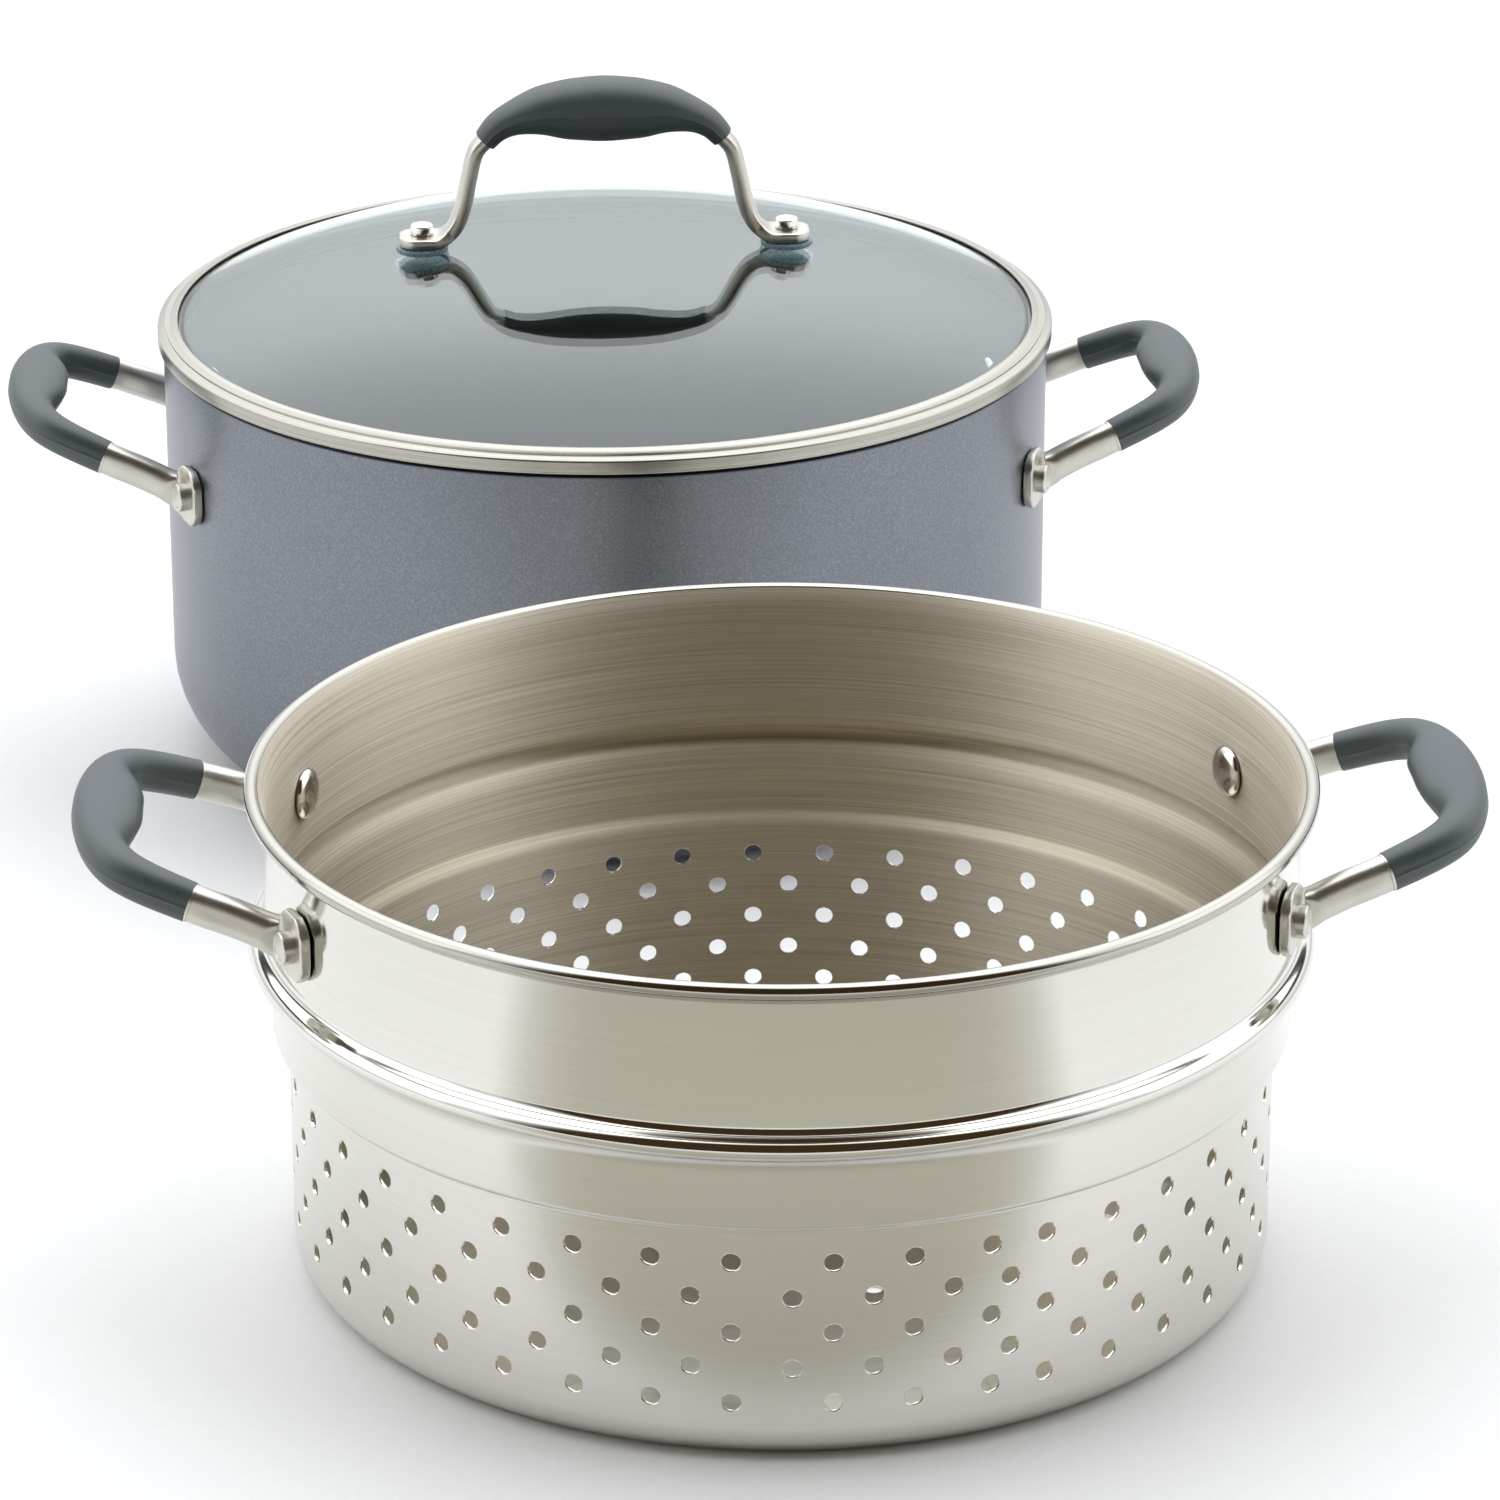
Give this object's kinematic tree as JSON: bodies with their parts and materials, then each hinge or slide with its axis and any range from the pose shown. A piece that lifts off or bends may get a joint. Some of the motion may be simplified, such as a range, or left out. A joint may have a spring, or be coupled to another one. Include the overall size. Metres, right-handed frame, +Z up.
{
  "type": "stockpot with steamer insert",
  "caption": "Wide stockpot with a domed glass lid, and a perforated steel steamer insert whose bead rests on the pot's rim. Bow handles with soft grips.",
  "frame": {"origin": "middle of the pot's base, on the floor", "axes": "+Z up, +X along the line of the handles, -Y from the pot towards the insert"},
  "size_m": [0.4059, 0.6538, 0.2181],
  "materials": {
    "anodised": "satin, hard-anodised, with a fine speckle",
    "sheet_steel": "polished",
    "handle_steel": "satin",
    "band_steel": "brushed round the band",
    "grip": "matte silicone",
    "washer": "translucent silicone",
    "glass": "clear, tempered"
  },
  "bodies": {
    "pot": {"pot_body": "anodised", "pot_right_handle_frame": "handle_steel", "pot_right_handle_grip": "grip", "pot_right_handle_front_rivet": "handle_steel", "pot_right_handle_rear_rivet": "handle_steel", "pot_left_handle_frame": "handle_steel", "pot_left_handle_grip": "grip", "pot_left_handle_front_rivet": "handle_steel", "pot_left_handle_rear_rivet": "handle_steel"},
    "lid": {"lid_glass": "glass", "lid_rim_band": "band_steel", "lid_handle_frame": "handle_steel", "lid_handle_grip": "grip", "lid_right_stud": "handle_steel", "lid_right_upper_washer": "washer", "lid_right_lower_washer": "washer", "lid_right_nut": "handle_steel", "lid_left_stud": "handle_steel", "lid_left_upper_washer": "washer", "lid_left_lower_washer": "washer", "lid_left_nut": "handle_steel"},
    "insert": {"insert_basket": "sheet_steel", "insert_right_handle_frame": "handle_steel", "insert_right_handle_grip": "grip", "insert_right_handle_front_rivet": "handle_steel", "insert_right_handle_rear_rivet": "handle_steel", "insert_left_handle_frame": "handle_steel", "insert_left_handle_grip": "grip", "insert_left_handle_front_rivet": "handle_steel", "insert_left_handle_rear_rivet": "handle_steel"}
  },
  "joints": [
    {"name": "lid_lift", "type": "slide", "parent": "pot", "child": "lid", "axis": [0, 0, 1], "range_m": [0, 0.15]},
    {"name": "insert_lift", "type": "slide", "parent": "pot", "child": "insert", "axis": [0, 0, 1], "range_m": [0, 0.24]}
  ]
}
